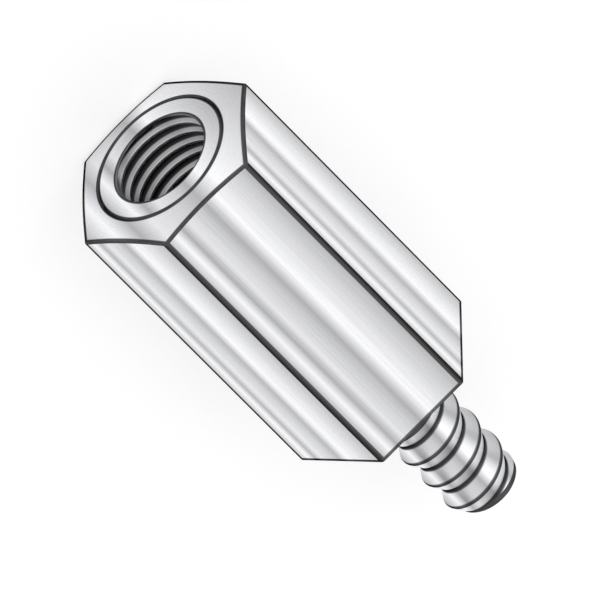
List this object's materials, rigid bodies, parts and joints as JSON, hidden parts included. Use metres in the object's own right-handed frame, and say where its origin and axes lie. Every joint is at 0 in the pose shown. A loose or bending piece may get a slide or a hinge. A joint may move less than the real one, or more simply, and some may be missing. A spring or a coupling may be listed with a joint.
{
  "type": "hex standoff",
  "caption": "Male-female hex standoff turned from hexagon bar, with a blind tapped hole in one end and a coarse threaded stud on the other.",
  "frame": {"origin": "middle of the shoulder that the stud stands on, on the axis of the bar", "axes": "+X along the axis, from the tapped end towards the stud's tip; +Z square to the upper flat, with the standoff lying on the lower one; +Y towards a long corner of the bar"},
  "size_m": [0.0187, 0.0072, 0.0064],
  "materials": {
    "aluminium": "bright drawn bar with turned ends"
  },
  "bodies": {
    "root": {"standoff": "aluminium"}
  },
  "joints": []
}
